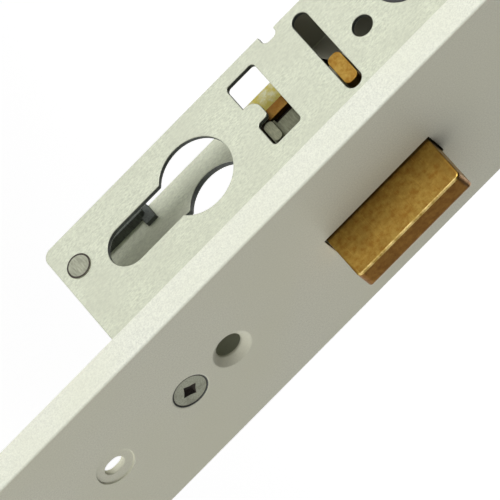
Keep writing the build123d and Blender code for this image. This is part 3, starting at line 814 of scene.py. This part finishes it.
class LOCK_OT_rivets(bpy.types.Operator):
    """Finish the spacer rivets"""

    bl_idname = "lock.rivets"
    bl_label = "Spacer rivets"

    def execute(self, context):
        rivets = merged_copy("spacer_rivets", "spacer_rivets_finished")
        low, high = (Vector(corner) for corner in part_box("spacer_rivets"))
        select_faces(rivets, lambda face: (
            min(face.center.y - low.y, high.y - face.center.y) < TOUCH))
        for finish in ("plated_steel", "grimy_recess"):
            rivets.data.materials.append(finishes()[finish])
        # Dirt and painted shade: a ring round the edge of each head takes the near-black dirt
        # colour, which also stands in for the shade under the head's edge.
        bpy.ops.mesh.inset(thickness=sizes().rivet_rim)
        bpy.ops.mesh.select_more()
        rivets.active_material_index = 1
        bpy.ops.object.material_slot_assign()
        bpy.ops.mesh.select_less()
        rivets.active_material_index = 0
        bpy.ops.object.material_slot_assign()
        bpy.ops.mesh.inset(thickness=sizes().rivet_ring, depth=-sizes().rivet_dish)
        bpy.ops.mesh.inset(thickness=sizes().rivet_centre, depth=sizes().rivet_dish / 2)
        bpy.ops.object.mode_set(mode="OBJECT")
        apply_bevel(rivets, sizes().small_edge / 2, 2, 40)
        finish_piece(rivets, "spacer_rivets")
        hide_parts("spacer_rivets")
        return {"FINISHED"}


class LOCK_OT_deadbolt(bpy.types.Operator):
    """Finish the cast deadbolt, with a rubbed edge that is also a painted highlight, and painted
    shade on its nose and inside the case
    """

    bl_idname = "lock.deadbolt"
    bl_label = "Deadbolt"

    def execute(self, context):
        bolt = soften("deadbolt", sizes().bolt_edge, "oily_cast_brass", segments=3)
        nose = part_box("deadbolt")[1][0]
        lever_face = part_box("detent_lever")[0][1]
        assign_finish(bolt, "clean_cast_brass", lambda face: (
            face.center.y < lever_face - 0.5 * MM))
        # Painted shade together with reddish tarnish: the nose's forward faces take a darker,
        # redder brass, which also stands in for the shade on the end face turned from the key
        # light.
        assign_finish(bolt, "tarnished_cast_brass", lambda face: (
            face.center.x > nose - 1.5 * MM and face.normal.x > 0.3))
        # Painted highlight together with wear: the nose's near edge takes the bright rubbed brass,
        # which also stands in for the glint of the light on that edge.
        assign_finish(bolt, "rubbed_brass_edge", lambda face: (
            face.center.x > nose - 0.8 * MM and face.normal.y < -0.25 and face.normal.x > 0.15))
        return {"FINISHED"}


class LOCK_OT_detent(bpy.types.Operator):
    """Finish the detent lever, its stud, its pin and its spring"""

    bl_idname = "lock.detent"
    bl_label = "Detent"

    def execute(self, context):
        soften("detent_lever", sizes().small_edge, "rolled_steel")
        soften("detent_stud", sizes().small_edge * 2, "turned_steel", segments=3)
        soften("detent_pivot_pin", sizes().small_edge, "turned_steel")
        polish("detent_spring", "spring_wire")
        return {"FINISHED"}


class LOCK_OT_follower(bpy.types.Operator):
    """Finish the handle follower, its bushes and its spring"""

    bl_idname = "lock.follower"
    bl_label = "Follower"

    def execute(self, context):
        soften("follower", sizes().small_edge, "die_cast_zinc", segments=3)
        soften("follower_bush_near", sizes().small_edge, "moulded_nylon")
        soften("follower_bush_far", sizes().small_edge, "moulded_nylon")
        polish("follower_spring", "spring_wire")
        return {"FINISHED"}


class LOCK_OT_latch(bpy.types.Operator):
    """Finish the latch bolt, its tail, its pin and its spring"""

    bl_idname = "lock.latch"
    bl_label = "Latch"

    def execute(self, context):
        soften("latch_bolt", sizes().bolt_edge, "cast_brass", "rubbed_brass_edge", segments=3)
        soften("latch_tail", sizes().small_edge, "rolled_steel")
        soften("latch_pin", sizes().small_edge, "turned_steel")
        polish("latch_spring", "spring_wire")
        return {"FINISHED"}


def add_area_light(name, position, target, size, power):
    """Add a square soft light that faces a target."""
    light = bpy.data.lights.new(name, "AREA")
    light.size = size
    light.energy = power
    obj = bpy.data.objects.new(name, light)
    bpy.context.scene.collection.objects.link(obj)
    obj.location = position
    obj.rotation_euler = (target - position).to_track_quat("-Z", "Y").to_euler()


class LOCK_OT_stage(bpy.types.Operator):
    """Set the camera, the soft lights and the pale floor"""

    bl_idname = "lock.stage"
    bl_label = "Stage"

    def execute(self, context):
        stage = context.scene.lock_stage
        context.scene.view_settings.view_transform = "Standard"
        target = CYLINDER_AXIS + Vector(stage.aim)
        turn, rise = stage.azimuth, stage.elevation
        back = Vector((math.sin(turn) * math.cos(rise), -math.cos(turn) * math.cos(rise),
                       math.sin(rise)))
        level = Vector((math.cos(turn), math.sin(turn), 0))
        upright = back.cross(level)
        right = level * math.cos(stage.roll) + upright * math.sin(stage.roll)
        up = back.cross(right)
        lens = bpy.data.cameras.new("camera")
        lens.lens = stage.lens
        lens.clip_end = 200
        camera = bpy.data.objects.new("camera", lens)
        context.scene.collection.objects.link(camera)
        camera.matrix_world = (Matrix.Translation(target + back * stage.distance)
                               @ Matrix((right, up, back)).transposed().to_4x4())
        context.scene.camera = camera

        low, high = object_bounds()
        middle = (Vector(low) + Vector(high)) / 2
        add_area_light("key", middle + Vector(stage.key_place), middle, stage.key_size,
                       stage.key_power)
        add_area_light("back", middle + Vector(stage.back_place), middle, stage.back_size,
                       stage.back_power)
        world = bpy.data.worlds.new("even_sky")
        world.use_nodes = True
        world.node_tree.nodes["Background"].inputs["Strength"].default_value = stage.sky
        world.node_tree.nodes["Background"].inputs["Color"].default_value = linear("FFFFFF")
        context.scene.world = world

        bpy.ops.mesh.primitive_plane_add(size=stage.floor_size, location=(0, 0, low[2]))
        floor = context.active_object
        floor.name = "floor"
        material, _, shader, _ = new_material("pale_floor", Roughness=0.8)
        shader.inputs["Base Color"].default_value = linear("F4F4F4")
        shader.inputs["Emission Color"].default_value = linear("FFFFFF")
        shader.inputs["Emission Strength"].default_value = stage.floor_glow
        floor.data.materials.append(material)
        floor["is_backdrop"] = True
        return {"FINISHED"}


OPERATORS = (
    LOCK_OT_forend,
    LOCK_OT_plates,
    LOCK_OT_blocks,
    LOCK_OT_screws,
    LOCK_OT_rivets,
    LOCK_OT_deadbolt,
    LOCK_OT_detent,
    LOCK_OT_follower,
    LOCK_OT_latch,
    LOCK_OT_stage,
)
GROUPS = {"lock_sizes": LockSizes, "lock_colours": LockColours, "lock_stage": LockStage}


class LOCK_PT_panel(bpy.types.Panel):
    """List the properties and the operators in the sidebar"""

    bl_idname = "LOCK_PT_panel"
    bl_label = "Mortice lock"
    bl_space_type = "VIEW_3D"
    bl_region_type = "UI"
    bl_category = "Lock"

    def draw(self, context):
        for group, kind in GROUPS.items():
            column = self.layout.column()
            for name in kind.__annotations__:
                column.prop(getattr(context.scene, group), name)
        for operator in OPERATORS:
            self.layout.operator(operator.bl_idname)


def register():
    for group, kind in GROUPS.items():
        bpy.utils.register_class(kind)
        setattr(bpy.types.Scene, group, bpy.props.PointerProperty(type=kind))
    for cls in (*OPERATORS, LOCK_PT_panel):
        bpy.utils.register_class(cls)


def unregister():
    for cls in reversed((*OPERATORS, LOCK_PT_panel)):
        bpy.utils.unregister_class(cls)
    for group, kind in GROUPS.items():
        delattr(bpy.types.Scene, group)
        bpy.utils.unregister_class(kind)


def main():
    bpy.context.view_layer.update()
    register()
    for operator in OPERATORS:
        category, name = operator.bl_idname.split(".")
        getattr(getattr(bpy.ops, category), name)()


if __name__ == "__main__":
    main()
